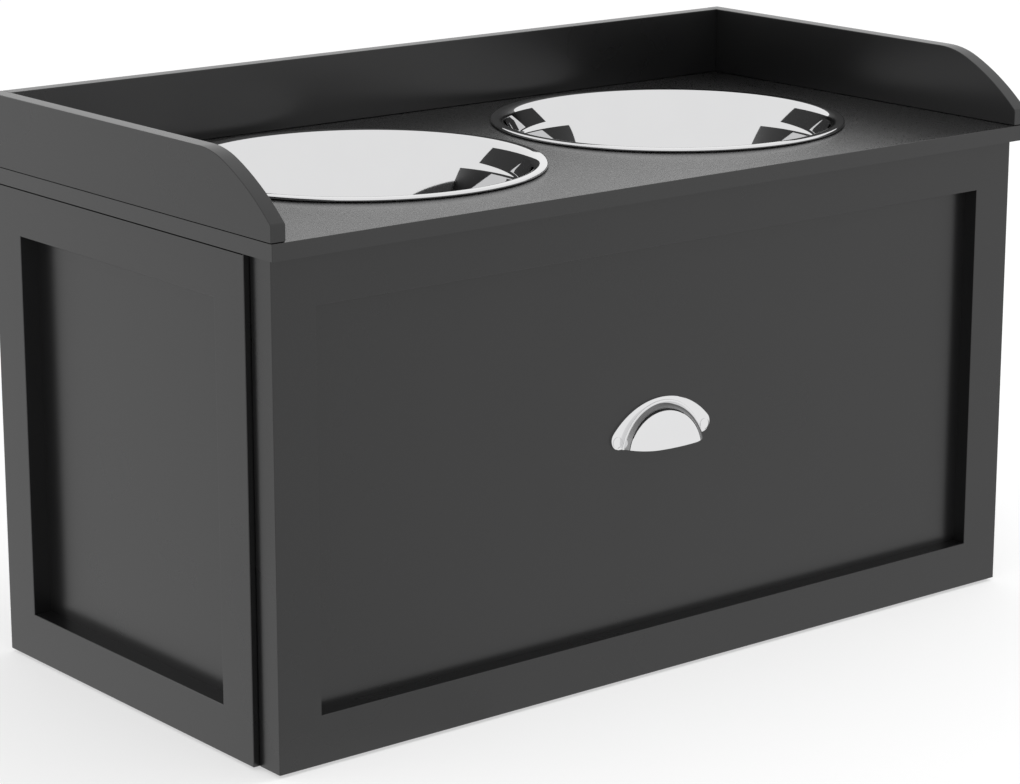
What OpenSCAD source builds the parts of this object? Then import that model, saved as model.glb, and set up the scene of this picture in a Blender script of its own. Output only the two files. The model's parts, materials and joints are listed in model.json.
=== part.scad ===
// Raised feeding station for a dog: a shaker-panelled cabinet with a storage
// drawer, a low gallery round the top and two lift-out bowls.
// Millimetres. X runs to the right, the drawer opens towards -Y, Z is up.
// The origin is on the floor, below the middle of the top board.

/* [Overall] */
// Width of the top board
body_w = 600; // [580:5:700]
// Depth of the top board, front to back
body_d = 300; // [296:2:340]
// Height of the carcass, from its underside to the top board
carcass_h = 302; // [290:2:340]

/* [Top board and gallery] */
// Thickness of the top board
top_t = 10; // [9:1:16]
// Height of the gallery above the top board
gallery_h = 45; // [38:1:60]
// Thickness of the gallery boards
gallery_t = 10; // [9:1:14]
// Set-back of the gallery ends from the front edge of the top board
gallery_setback = 1; // [0:0.5:4]
// Distance from the front edge at which the gallery starts to fall
gallery_fall_start = 70; // [60:1:90]
// Radius of the first, tighter arc of the fall
gallery_fall_r = 60; // [45:1:80]
// Sweep of the tighter arc, in degrees
gallery_fall_a = 24; // [18:1:28]
// Radius of the long second arc of the fall
gallery_sweep_r = 160; // [140:5:220]
// Rounding of the gallery's front nose
gallery_nose_r = 3; // [2:0.5:4]

/* [Bowls] */
// Distance from the board's front edge to the bowls' rims
bowl_front_margin = 41; // [36:1:44]
// Distance from the rims to the gallery behind them
bowl_back_margin = 16; // [14:1:24]
// Space between the two rims
bowl_gap = 19; // [16:1:28]
// Radius of the rolled bead round the rim
bowl_bead_r = 1.2; // [1:0.1:1.6]
// Thickness of the bowl's sheet
bowl_sheet = 0.8; // [0.6:0.1:1.2]
// Width of the flat lip between the wall and the bead
bowl_lip_w = 3.2; // [2:0.1:5]
// Radius of the shoulder between the wall and the lip
bowl_shoulder_r = 2.4; // [1.6:0.1:4]
// Distance from the top board down to the underside of a bowl
bowl_drop = 62; // [50:1:64]
// Lean of the bowl's wall, in degrees
bowl_lean = 13; // [8:1:16]
// Radius of the corner between the bowl's wall and base
bowl_corner_r = 26; // [18:1:30]
// Height of the boss pressed up in the middle of the base
bowl_dish = 1.2; // [0.6:0.1:2]
// Radius of that boss
bowl_dish_r = 34; // [25:1:45]

/* [Carcass] */
// Inset of the carcass sides from the ends of the top board
side_inset = 1; // [0:0.5:5]
// Width of every stile and rail
frame_w = 30; // [26:1:40]
// Depth of the side panels behind the face of their frames
side_recess = 12; // [10:1:16]
// Thickness of the framed panels
panel_t = 10; // [8:1:12]
// Width of the rebate that holds a framed panel
rebate_w = 10; // [7:1:13]
// Thickness of the carcass bottom
bottom_t = 15; // [15:1:18]
// Thickness of the stretchers below the top board
stretcher_t = 10; // [10:1:10.5]
// Height of the stretchers
stretcher_h = 40; // [36:1:44]
// Thickness of the hardboard back
back_t = 4; // [3:0.5:5]
// Width of the rebate that holds the back
back_rebate_w = 8; // [6:1:10]
// Depth of the back behind the rear edges of the sides
back_inset = 2; // [2:0.5:4]

/* [Drawer front] */
// Overhang of the top board in front of the drawer front
front_overhang = 9; // [5:0.5:14]
// Inset of the drawer front from the outer faces of the sides
front_inset = 4; // [2:0.5:8]
// Depth of the drawer's panel behind the face of its frame
front_recess = 10; // [8:1:12]
// Gap between the drawer front and the carcass
front_gap = 0.5; // [0.3:0.1:2]
// Gap between the drawer front and the top board
front_top_gap = 1; // [0.5:0.5:4]

/* [Drawer box] */
// Thickness of the drawer box's boards
box_t = 12; // [11:1:15]
// Space between the drawer box and the bowls above it
box_top_gap = 13.6; // [12:0.2:40]
// Space between the drawer box and the carcass back
box_back_gap = 15; // [12:0.5:30]
// Thickness of the drawer's hardboard bottom
box_bottom_t = 5; // [3:0.5:6]
// Depth of the groove that holds the drawer's bottom
groove_d = 6; // [4:1:7]
// Height of that groove above the lower edge of the box
groove_z = 8; // [6:1:14]

/* [Drawer runners] */
// Space between the runners and the carcass back
runner_back_gap = 12.5; // [10:0.5:30]
// Distance from the front of the carcass to the runner
runner_setback = 2; // [1:0.5:6]
// Height of a runner above the carcass bottom
runner_lift = 5; // [4:1:10]
// Space between the carcass side and the drawer box
runner_gap = 12.5; // [12.5:0.5:14]
// Thickness of the runner's sheet steel
runner_sheet = 1.2; // [1:0.1:1.4]
// Width of the runner's flanges
runner_flange = 10; // [9.5:0.25:10.5]
// Height of the web above the channel, where it is screwed on
runner_ear = 12; // [10:1:16]
// Radius of the roller at the front of the carcass runner
front_roller_r = 10; // [9:0.25:10.25]
// Radius of the roller at the back of the drawer runner
rear_roller_r = 11; // [10.75:0.25:12]
// Width of a roller
roller_w = 7; // [6:0.25:7.25]
// Radius of the rollers' pins
roller_pin_r = 2.5; // [2:0.1:3.5]
// Distance from the end of a runner to its roller
roller_inset = 14; // [13:1:18]
// Running clearance round a roller
roller_gap = 0.4; // [0.3:0.05:0.5]

/* [Cup pull] */
// Distance between the pull's two screws
pull_pitch = 71; // [68:1:76]
// Radius of the flange's long upper arc
pull_arc_r = 52; // [48:1:60]
// Height of the flange above the screw line
pull_top = 23.3; // [21:0.1:26]
// Radius of the flange's round ends
pull_end_r = 6; // [5:0.1:7]
// Half the width over the flange's ends
pull_half_w = 40.7; // [40.6:0.1:44]
// Thickness of the flange
pull_flange_t = 1.5; // [1.2:0.1:2.5]
// Radius of the round cup where it meets the drawer's panel
cup_base_r = 31.5; // [30:0.1:31.8]
// Distance from the screw line down to the cup's middle
cup_drop = 11.4; // [11:0.1:12]
// Distance from the screw line down to the cup's lip
cup_lip_drop = 5; // [4.6:0.1:6]
// Radius of the cup's almost flat front
cup_front_r = 101; // [80:1:160]
// Radius of the corner between the cup's front and its side
cup_corner_r = 19.5; // [18:0.1:20]
// Distance from the drawer's panel back to that corner's centre
cup_corner_back = 1.9; // [1:0.1:3]
// Thickness of the cup's wall
cup_wall = 1.6; // [1.2:0.1:2.5]
// Width of the raised step round the cup
cup_step_w = 1.6; // [1:0.1:1.6]
// Height of that step above the drawer's panel
cup_step_h = 3.6; // [2.6:0.1:4]

/* [Feet and fasteners] */
// Height of the rubber feet
foot_h = 2; // [1.5:0.5:5]
// Radius of the rubber feet
foot_r = 10; // [8:1:14]
// Distance from the carcass corner to a foot's centre, both ways
foot_inset = 16; // [15:1:30]
// Radius of the dowels in the side and drawer frames
dowel_r = 4; // [3:0.5:4]
// Radius of the dowels in the carcass
small_dowel_r = 3; // [2.5:0.5:3]
// Radius of the screws' shanks
screw_r = 1.75; // [1.5:0.05:2]
// Radius of the screws' heads
screw_head_r = 3.5; // [3:0.1:3.75]
// Thickness of the steel angle brackets
bracket_t = 2; // [1.5:0.5:3]
// Length of each leg of a bracket
bracket_leg = 20; // [18:1:22]
// Width of a bracket
bracket_w = 16; // [12:1:18]
// Radius of a cam lock
cam_r = 7.5; // [6:0.5:7.5]
// Distance from the carcass side to the middle of a cam
cam_reach = 24; // [20:1:34]
// Radius of a cam bolt
cam_bolt_r = 3; // [2.5:0.25:3]

/* [Hidden] */
$fn = 64;

charcoal = [0.22, 0.22, 0.22];
hardboard = [0.34, 0.32, 0.3];
beech = [0.78, 0.64, 0.45];
zinc = [0.72, 0.73, 0.75];
chrome = [0.85, 0.86, 0.87];
enamel = [0.9, 0.9, 0.88];
nylon = [0.95, 0.95, 0.93];
rubber_black = [0.08, 0.08, 0.08];

// Radial clearance of every bore round its dowel, screw or pin
bore_fit = 0.05;
// Overshoot of a cutting solid past the face that it opens
over = 1;

// Levels, from the floor up
base_z = foot_h;
cap_z = base_z + carcass_h;
top_z = cap_z + top_t;
floor_z = base_z + bottom_t;

// Planes across the width, for the right-hand side
side_t = side_recess + panel_t;
side_x = body_w / 2 - side_inset;
inner_x = side_x - side_t;
back_x = inner_x + back_rebate_w;
box_x = inner_x - runner_gap;
front_x = side_x - front_inset;

// Planes along the depth
front_t = front_recess + panel_t;
board_y = -body_d / 2;
back_y = body_d / 2;
face_y = board_y + front_overhang;
front_back_y = face_y + front_t;
carcass_y = front_back_y + front_gap;
panel_face_y = face_y + front_recess;
back_face_y = back_y - back_inset;
inner_back_y = back_face_y - back_t;
front_top_z = cap_z - front_top_gap;

// Side frame, looking at its outside
side_mid_x = side_x - side_t / 2;
side_open_y0 = carcass_y + frame_w;
side_open_y1 = back_y - frame_w;
open_z0 = base_z + frame_w;
side_open_z1 = cap_z - frame_w;
front_open_z1 = front_top_z - frame_w;

// Dowels
frame_dowel_len = 32;
small_dowel_len = 20;
top_dowel_len = 15;
top_dowel_bite = 6;
stretcher_dowel_bite = 8;

// Screws
gallery_screw_len = 25;
gallery_screw_from_end = 50;
bracket_screw_len = 7;
back_screw_len = 14;
runner_screw_len = 9;
box_screw_len = 32;
front_screw_len = 20;
front_screw_from_side = 70;
pull_screw_len = 8;
flat_head_h = 2;
pan_head_h = 1.8;
recess_w = 0.7;
back_screw_head_r = 3;

// Distance from a bracket's corner to its holes
bracket_hole = 12;

// Cam locks and their bolts
cam_h = 12.5;
cam_bolt_bite = 11;
cam_slot_w = 1.6;
cam_slot_len = 9;
cam_slot_d = 1.5;
cam_from_end = 45;
cam_z = base_z + bottom_t / 2;

// Bowls: the rims fill the depth that the margins leave
bowl_rim_r = (body_d - gallery_t - bowl_front_margin - bowl_back_margin) / 2;
bowl_x = bowl_rim_r + bowl_gap / 2;
bowl_y = board_y + bowl_front_margin + bowl_rim_r;
bead_ring_r = bowl_rim_r - bowl_bead_r;
hole_fit = 1.2;
bowl_seat_gap = 0.2;
bead_z = top_z + bowl_seat_gap + bowl_bead_r;
lip_top_z = bead_z + bowl_bead_r;
bowl_base_z = top_z - bowl_drop;
arc_steps = 12;
// Centres of the bead, of the shoulder below the lip and of the corner above the base
bowl_bead = [bead_ring_r, bead_z];
bowl_shoulder = [bead_ring_r - bowl_lip_w, lip_top_z - bowl_shoulder_r];
bowl_corner_z = bowl_base_z + bowl_corner_r;
bowl_corner = [bowl_shoulder[0] - (bowl_shoulder[1] - bowl_corner_z) * tan(bowl_lean)
    - (bowl_shoulder_r + bowl_corner_r - bowl_sheet) / cos(bowl_lean), bowl_corner_z];
bowl_hole_r = bowl_shoulder[0] - (bowl_shoulder_r - bowl_sheet) / cos(bowl_lean) + hole_fit;

// Drawer box and runners
runner_y = carcass_y + runner_setback;
runner_len = inner_back_y - runner_back_gap - runner_y;
runner_z = floor_z + runner_lift;
channel_z = runner_z + runner_sheet;
channel_h = 2 * (rear_roller_r + roller_gap);
runner_top_z = channel_z + channel_h + runner_sheet;
box_z = channel_z + runner_sheet;
box_h = bowl_base_z - box_top_gap - box_z;
box_back_y = inner_back_y - box_back_gap;
front_roller_y = runner_y + roller_inset;
front_roller_z = channel_z + roller_gap + front_roller_r;
rear_roller_y = runner_y + runner_len - roller_inset;
rear_roller_z = channel_z + roller_gap + rear_roller_r;
track_z = front_roller_z + front_roller_r + roller_gap;
track_w = 7.8;
track_end_gap = 2;
roller_air = 0.6;
roller_groove = 0.6;
roller_band = 2;
pin_head_r = 4.2;
pin_head_t = 0.8;
pin_end_gap = 0.2;
roller_hub_rim = 0.5;
top_flange_cut = 34;
box_in_x = box_x - box_t;
bottom_z = box_z + groove_z;

// Cup pull, from the screw line at the middle of the drawer's panel
pull_z = (open_z0 + front_open_z1) / 2;
pull_arc_z = pull_top - pull_arc_r;
pull_end_x = pull_half_w - pull_end_r;
pull_end_z = pull_arc_z + sqrt(pow(pull_arc_r - pull_end_r, 2) - pow(pull_end_x, 2));
pull_blend_x = pull_end_x * pull_arc_r / (pull_arc_r - pull_end_r);
pull_foot_z = pull_end_z - pull_end_r;
// The cup is turned about an axis square to the drawer's panel. Its corner arc meets its front arc in a tangent
cup_corner_x = cup_base_r - sqrt(pow(cup_corner_r, 2) - pow(cup_corner_back, 2));
cup_blend_reach = cup_front_r - cup_corner_r;
pull_reach = cup_front_r - cup_corner_back - sqrt(pow(cup_blend_reach, 2) - pow(cup_corner_x, 2));
pull_head_r = 3.5;
pull_head_h = 1.6;

// Mirrored copies left and right of the middle
module both_sides() {
    children();
    mirror([1, 0, 0]) children();
}

// A box given by its two corners
module block(lo, hi) {
    translate(lo) cube(hi - lo);
}

// A pin of radius r along an axis, from a point, with its length
module pin_x(at, r, len) { translate(at) rotate([0, 90, 0]) cylinder(r = r, h = len); }
module pin_y(at, r, len) { translate(at) rotate([-90, 0, 0]) cylinder(r = r, h = len); }
module pin_z(at, r, len) { translate(at) cylinder(r = r, h = len); }

// A countersunk screw that points along +Z, its head flush with z = 0
module flat_screw(len, fit = 0) {
    cylinder(r = screw_r + fit, h = len + fit);
    cylinder(r1 = screw_head_r + fit, r2 = screw_r + fit, h = flat_head_h);
}

// A pan-head screw that points along +Z, its head standing below z = 0
module pan_screw(len, head_r = screw_head_r) {
    cylinder(r = screw_r, h = len);
    translate([0, 0, -pan_head_h]) difference() {
        union() {
            cylinder(r1 = head_r - pan_head_h / 2, r2 = head_r, h = pan_head_h / 2);
            translate([0, 0, pan_head_h / 2]) cylinder(r = head_r, h = pan_head_h / 2);
        }
        for (turn = [0, 90]) rotate(turn)
            translate([-head_r / 2, -recess_w / 2, -over]) cube([head_r, recess_w, over + pan_head_h / 2]);
    }
}

// Positions that the pieces and their bores share
function gallery_side_ys() = [for (k = [-1, 0, 1]) k * (body_d / 2 - gallery_screw_from_end)];
function gallery_back_xs() = [for (k = [-0.75, -0.25, 0.25, 0.75]) k * (body_w / 2 - gallery_t)];
function side_dowel_ys() = [carcass_y + frame_w / 2, (carcass_y + back_y) / 2, back_y - frame_w / 2];
function bracket_xs() = [-(inner_x - bracket_w), 0, inner_x - bracket_w];
function cam_ys() = [carcass_y + cam_from_end, inner_back_y - cam_from_end];
function runner_screw_ys() = [for (k = [0.24, 0.52, 0.84]) runner_y + k * runner_len];
function drawer_runner_screw_ys() = [for (k = [0.12, 0.5, 0.82]) runner_y + k * runner_len];
function back_screw_xs() = [for (k = [-0.75, 0, 0.75]) k * inner_x];
function back_screw_zs() = [for (k = [0.35, 0.65]) base_z + k * carcass_h];
function box_screw_zs() = [for (k = [0.25, 0.8]) box_z + k * box_h];

// Top board with its two bowl openings
module top_board() {
    color(charcoal) difference() {
        block([-body_w / 2, board_y, cap_z], [body_w / 2, back_y, top_z]);
        both_sides() pin_z([bowl_x, bowl_y, cap_z - over], bowl_hole_r, top_t + 2 * over);
        gallery_screw_group(bore_fit);
        top_dowels(bore_fit);
        for (x = bracket_xs(), s = [-1, 1])
            pin_z([x, bracket_hole_y(s), cap_z - over], screw_r + bore_fit, over + bracket_screw_len);
    }
}

// Outline of a side gallery board: y from the board's front edge, z from its foot
module gallery_outline() {
    nose_y = gallery_setback;
    arc1_z = gallery_h - gallery_fall_r;
    blend_y = gallery_fall_start - gallery_fall_r * sin(gallery_fall_a);
    arc2_y = blend_y + gallery_sweep_r * sin(gallery_fall_a);
    arc2_z = arc1_z + (gallery_fall_r - gallery_sweep_r) * cos(gallery_fall_a);
    round_y = nose_y + gallery_nose_r;
    round_z = arc2_z + sqrt(pow(gallery_sweep_r - gallery_nose_r, 2) - pow(arc2_y - round_y, 2));
    turn = gallery_sweep_r / (gallery_sweep_r - gallery_nose_r);
    tangent_y = arc2_y + (round_y - arc2_y) * turn;
    translate([gallery_fall_start, 0]) square([body_d - gallery_fall_start, gallery_h]);
    intersection() {
        translate([gallery_fall_start, arc1_z]) circle(r = gallery_fall_r);
        translate([blend_y, 0]) square([gallery_fall_start - blend_y, gallery_h]);
    }
    intersection() {
        translate([arc2_y, arc2_z]) circle(r = gallery_sweep_r);
        translate([tangent_y, 0]) square([blend_y - tangent_y, gallery_h]);
    }
    translate([nose_y, 0]) square([tangent_y - nose_y, round_z]);
    intersection() {
        translate([round_y, round_z]) circle(r = gallery_nose_r);
        translate([nose_y, 0]) square([tangent_y - nose_y, gallery_h]);
    }
}

module gallery_side() {
    color(charcoal) difference() {
        translate([body_w / 2 - gallery_t, board_y, top_z])
            rotate([90, 0, 90]) linear_extrude(gallery_t) gallery_outline();
        gallery_screw_group(bore_fit);
    }
}

module gallery_left() { mirror([1, 0, 0]) gallery_side(); }
module gallery_right() { gallery_side(); }

module gallery_back() {
    end_x = body_w / 2 - gallery_t;
    color(charcoal) difference() {
        block([-end_x, back_y - gallery_t, top_z], [end_x, back_y, top_z + gallery_h]);
        gallery_screw_group(bore_fit);
    }
}

// Screws driven up through the top board into the gallery
module gallery_screw_group(fit = 0) {
    both_sides() for (y = gallery_side_ys())
        translate([body_w / 2 - gallery_t / 2, y, cap_z]) flat_screw(gallery_screw_len, fit);
    for (x = gallery_back_xs())
        translate([x, back_y - gallery_t / 2, cap_z]) flat_screw(gallery_screw_len, fit);
}

module gallery_screws() { color(zinc) gallery_screw_group(); }

// Right-hand side frame: stiles, rails and the panel in their rebates
module side_panel() {
    color(charcoal) difference() {
        side_panel_block();
        carcass_screw_bores();
    }
}

module side_panel_block() {
    block([inner_x, side_open_y0 - rebate_w, open_z0 - rebate_w],
        [inner_x + panel_t, side_open_y1 + rebate_w, side_open_z1 + rebate_w]);
}

module side_stile(front) {
    y = front ? carcass_y : side_open_y1;
    color(charcoal) difference() {
        block([inner_x, y, base_z], [side_x, y + frame_w, cap_z]);
        side_panel_block();
        frame_dowel_group(bore_fit);
        top_dowels(bore_fit);
        stretcher_dowels(bore_fit);
        back_rebate();
        if (!front) back_screw_bores();
    }
}

module side_rail(top) {
    z = top ? side_open_z1 : base_z;
    color(charcoal) difference() {
        block([inner_x, side_open_y0, z], [side_x, side_open_y1, z + frame_w]);
        side_panel_block();
        frame_dowel_group(bore_fit);
        top_dowels(bore_fit);
        bottom_dowels(bore_fit);
        cam_bolt_group(bore_fit);
    }
}

module right_side_panel() { side_panel(); }
module right_front_stile() { side_stile(true); }
module right_rear_stile() { side_stile(false); }
module right_top_rail() { side_rail(true); }
module right_bottom_rail() { side_rail(false); }
module left_side_panel() { mirror([1, 0, 0]) side_panel(); }
module left_front_stile() { mirror([1, 0, 0]) side_stile(true); }
module left_rear_stile() { mirror([1, 0, 0]) side_stile(false); }
module left_top_rail() { mirror([1, 0, 0]) side_rail(true); }
module left_bottom_rail() { mirror([1, 0, 0]) side_rail(false); }

// Dowels between the rails and stiles of both sides
module frame_dowel_group(fit = 0) {
    len = frame_dowel_len + 2 * fit;
    both_sides() for (y = [side_open_y0, side_open_y1], z = [base_z + frame_w / 2, cap_z - frame_w / 2])
        pin_y([side_mid_x, y - len / 2, z], dowel_r + fit, len);
}

module side_frame_dowels() { color(beech) frame_dowel_group(); }

// Dowels that locate the top board on the sides
module top_dowels(fit = 0) {
    both_sides() for (y = side_dowel_ys())
        pin_z([side_mid_x, y, cap_z + top_dowel_bite - top_dowel_len - fit],
            small_dowel_r + fit, top_dowel_len + 2 * fit);
}

// Dowels at the ends of the stretchers
module stretcher_dowels(fit = 0) {
    both_sides() for (y = [carcass_y + stretcher_t / 2, inner_back_y - stretcher_t / 2])
        pin_x([inner_x + stretcher_dowel_bite - small_dowel_len - fit, y, cap_z - stretcher_h / 2],
            small_dowel_r + fit, small_dowel_len + 2 * fit);
}

// Dowels at the ends of the carcass bottom
module bottom_dowels(fit = 0) {
    both_sides() for (y = [side_open_y0, side_open_y1])
        pin_x([inner_x - small_dowel_len / 2 - fit, y + sign(-y) * frame_w, cam_z],
            small_dowel_r + fit, small_dowel_len + 2 * fit);
}

module carcass_dowels() {
    color(beech) {
        top_dowels();
        stretcher_dowels();
        bottom_dowels();
    }
}

module bottom_panel() {
    color(charcoal) difference() {
        block([-inner_x, carcass_y, base_z], [inner_x, inner_back_y, floor_z]);
        bottom_dowels(bore_fit);
        cam_bolt_group(bore_fit);
        both_sides() for (y = cam_ys())
            pin_z([inner_x - cam_reach, y, base_z - over], cam_r + bore_fit, over + cam_h + bore_fit);
        back_screw_bores();
    }
}

// Hardboard back, let into rebates of the rear stiles
module back_panel_block() {
    block([-back_x, inner_back_y, base_z], [back_x, back_face_y, cap_z]);
}

module back_rebate() {
    block([-back_x, inner_back_y, base_z - over], [back_x, back_y + over, cap_z + over]);
}

module at_back_screws() {
    for (x = back_screw_xs(), z = [cam_z, cap_z - stretcher_h / 2])
        translate([x, back_face_y, z]) rotate([90, 0, 0]) children();
    both_sides() for (z = back_screw_zs())
        translate([(inner_x + back_x) / 2, back_face_y, z]) rotate([90, 0, 0]) children();
}

module back_screw_bores() {
    at_back_screws() translate([0, 0, -over]) cylinder(r = screw_r + bore_fit, h = over + back_screw_len);
}

module back_panel() {
    color(hardboard) difference() {
        back_panel_block();
        back_screw_bores();
    }
}

module back_panel_screws() {
    color(zinc) at_back_screws() pan_screw(back_screw_len, back_screw_head_r);
}

// Stretchers on edge below the top board, front and back
module stretcher(y) {
    color(charcoal) difference() {
        block([-inner_x, y, cap_z - stretcher_h], [inner_x, y + stretcher_t, cap_z]);
        stretcher_dowels(bore_fit);
        back_screw_bores();
        for (s = [-1, 1]) at_bracket_side_screws(s)
            cylinder(r = screw_r + bore_fit, h = bracket_screw_len);
    }
}

module front_stretcher() { stretcher(carcass_y); }
module rear_stretcher() { stretcher(inner_back_y - stretcher_t); }

// Steel angles that hold the top board to the stretchers: s is -1 in front, 1 behind
function bracket_root_y(s) = s < 0 ? carcass_y + stretcher_t : inner_back_y - stretcher_t;
function bracket_hole_y(s) = bracket_root_y(s) - s * bracket_hole;

module at_bracket_side_screws(s) {
    for (x = bracket_xs())
        translate([x, bracket_root_y(s), cap_z - bracket_hole]) rotate([-90 * s, 0, 0]) children();
}

module angle_bracket(s) {
    root = bracket_root_y(s);
    tip = root - s * bracket_leg;
    web = root - s * bracket_t;
    difference() {
        union() {
            block([-bracket_w / 2, min(root, tip), cap_z - bracket_t], [bracket_w / 2, max(root, tip), cap_z]);
            block([-bracket_w / 2, min(root, web), cap_z - bracket_leg], [bracket_w / 2, max(root, web), cap_z]);
        }
        pin_z([0, bracket_hole_y(s), cap_z - bracket_t - over], screw_r + bore_fit, bracket_t + 2 * over);
        translate([0, min(root, web) - over, cap_z - bracket_hole]) rotate([-90, 0, 0])
            cylinder(r = screw_r + bore_fit, h = bracket_t + 2 * over);
    }
}

module angle_brackets() {
    color(zinc) for (x = bracket_xs(), s = [-1, 1]) translate([x, 0, 0]) angle_bracket(s);
}

module bracket_screws() {
    color(zinc) for (s = [-1, 1]) {
        for (x = bracket_xs())
            translate([x, bracket_hole_y(s), cap_z - bracket_t]) pan_screw(bracket_screw_len + bracket_t);
        at_bracket_side_screws(s) translate([0, 0, -bracket_t]) pan_screw(bracket_screw_len + bracket_t);
    }
}

// Cam locks in the underside of the bottom, and the bolts that they pull on
module cam_lock() {
    difference() {
        cylinder(r = cam_r, h = cam_h);
        for (turn = [45, 135]) rotate(turn)
            translate([-cam_slot_len / 2, -cam_slot_w / 2, -over]) cube([cam_slot_len, cam_slot_w, over + cam_slot_d]);
    }
}

module cam_locks() {
    color(zinc) difference() {
        both_sides() for (y = cam_ys()) translate([inner_x - cam_reach, y, base_z]) cam_lock();
        cam_bolt_group(bore_fit);
    }
}

module cam_bolt_group(fit = 0) {
    both_sides() for (y = cam_ys())
        pin_x([inner_x - cam_reach - fit, y, cam_z], cam_bolt_r + fit, cam_reach + cam_bolt_bite + 2 * fit);
}

module cam_bolts() { color(zinc) cam_bolt_group(); }

module rubber_feet() {
    color(rubber_black) both_sides() for (y = [carcass_y + foot_inset, inner_back_y - foot_inset])
        pin_z([inner_x - foot_inset, y, 0], foot_r, foot_h);
}

// Carcass runner: a channel open to the drawer, its screw ear and the roller's pin
module carcass_runner() {
    web_x = inner_x - runner_sheet;
    flange_x = inner_x - runner_flange;
    end_y = runner_y + runner_len;
    roller_x = web_x - roller_air - roller_w;
    color(enamel) difference() {
        union() {
            block([web_x, runner_y, runner_z], [inner_x, end_y, runner_top_z + runner_ear]);
            block([flange_x, runner_y, runner_z], [inner_x, end_y, channel_z]);
            block([flange_x, runner_y + top_flange_cut, runner_top_z - runner_sheet],
                [inner_x, end_y, runner_top_z]);
            pin_x([roller_x - pin_end_gap, front_roller_y, front_roller_z], roller_pin_r,
                inner_x - roller_x + pin_end_gap);
            pin_x([roller_x - pin_end_gap - pin_head_t, front_roller_y, front_roller_z], pin_head_r, pin_head_t);
        }
        at_runner_screws() translate([0, 0, -over]) cylinder(r = screw_r + bore_fit, h = runner_sheet + 2 * over);
    }
}

module at_runner_screws() {
    for (y = runner_screw_ys())
        translate([inner_x - runner_sheet, y, runner_top_z + runner_ear / 2]) rotate([0, 90, 0]) children();
}

module carcass_screw_bores() {
    at_runner_screws() cylinder(r = screw_r + bore_fit, h = runner_screw_len);
}

module carcass_runner_screws() { color(zinc) both_sides() at_runner_screws() pan_screw(runner_screw_len); }

// A nylon roller on the X axis, with a shallow groove round each face
module roller(r) {
    hub_r = pin_head_r + roller_hub_rim;
    color(nylon) rotate([0, 90, 0]) rotate_extrude() difference() {
        translate([roller_pin_r + bore_fit, 0]) square([r - roller_pin_r - bore_fit, roller_w]);
        for (z = [-over, roller_w - roller_groove])
            translate([hub_r, z]) square([r - roller_band - hub_r, roller_groove + over]);
    }
}

module carcass_runner_right() { carcass_runner(); }
module carcass_runner_left() { mirror([1, 0, 0]) carcass_runner(); }

module front_roller() {
    translate([inner_x - runner_sheet - roller_air - roller_w, front_roller_y, front_roller_z])
        roller(front_roller_r);
}

module front_roller_right() { front_roller(); }
module front_roller_left() { mirror([1, 0, 0]) front_roller(); }

// Drawer runner: a ledge below the box side, a web and the track over the front roller
module drawer_runner() {
    web_x = box_x + runner_sheet;
    end_y = runner_y + runner_len;
    roller_x = web_x + roller_air;
    color(enamel) difference() {
        union() {
            block([box_x, runner_y, box_z - runner_sheet], [web_x, end_y, track_z + runner_sheet]);
            block([box_x - box_t, runner_y, box_z - runner_sheet], [web_x, end_y, box_z]);
            block([box_x, runner_y, track_z],
                [web_x + track_w, rear_roller_y - rear_roller_r - track_end_gap, track_z + runner_sheet]);
            pin_x([box_x, rear_roller_y, rear_roller_z], roller_pin_r,
                roller_x - box_x + roller_w + pin_end_gap);
            pin_x([roller_x + roller_w + pin_end_gap, rear_roller_y, rear_roller_z], pin_head_r, pin_head_t);
        }
        at_drawer_runner_screws() translate([0, 0, -over])
            cylinder(r = screw_r + bore_fit, h = runner_sheet + 2 * over);
    }
}

module at_drawer_runner_screws() {
    for (y = drawer_runner_screw_ys())
        translate([box_x - box_t / 2, y, box_z - runner_sheet]) children();
}

module drawer_runner_right() { drawer_runner(); }
module drawer_runner_left() { mirror([1, 0, 0]) drawer_runner(); }

module drawer_runner_screws() {
    color(zinc) both_sides() at_drawer_runner_screws() pan_screw(runner_screw_len);
}

module rear_roller() {
    translate([box_x + runner_sheet + roller_air, rear_roller_y, rear_roller_z]) roller(rear_roller_r);
}

module rear_roller_right() { rear_roller(); }
module rear_roller_left() { mirror([1, 0, 0]) rear_roller(); }

// Drawer front: stiles, rails and the panel in their rebates
module drawer_panel_block() {
    half = front_x - frame_w + rebate_w;
    block([-half, panel_face_y, open_z0 - rebate_w], [half, front_back_y, front_open_z1 + rebate_w]);
}

module drawer_front_panel() {
    color(charcoal) difference() {
        drawer_panel_block();
        at_front_screws() flat_screw(front_screw_len, bore_fit);
        at_pull_screws() cylinder(r = screw_r + bore_fit, h = pull_screw_len + bore_fit);
    }
}

module drawer_front_stile() {
    color(charcoal) difference() {
        block([front_x - frame_w, face_y, base_z], [front_x, front_back_y, front_top_z]);
        drawer_panel_block();
        front_dowel_group(bore_fit);
    }
}

module drawer_front_rail(z) {
    half = front_x - frame_w;
    color(charcoal) difference() {
        block([-half, face_y, z], [half, front_back_y, z + frame_w]);
        drawer_panel_block();
        front_dowel_group(bore_fit);
    }
}

module drawer_front_right_stile() { drawer_front_stile(); }
module drawer_front_left_stile() { mirror([1, 0, 0]) drawer_front_stile(); }
module drawer_front_top_rail() { drawer_front_rail(front_open_z1); }
module drawer_front_bottom_rail() { drawer_front_rail(base_z); }

module front_dowel_group(fit = 0) {
    len = frame_dowel_len + 2 * fit;
    both_sides() for (z = [base_z + frame_w / 2, front_top_z - frame_w / 2])
        pin_x([front_x - frame_w - len / 2, face_y + front_t / 2, z], dowel_r + fit, len);
}

module drawer_front_dowels() { color(beech) front_dowel_group(); }

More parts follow.
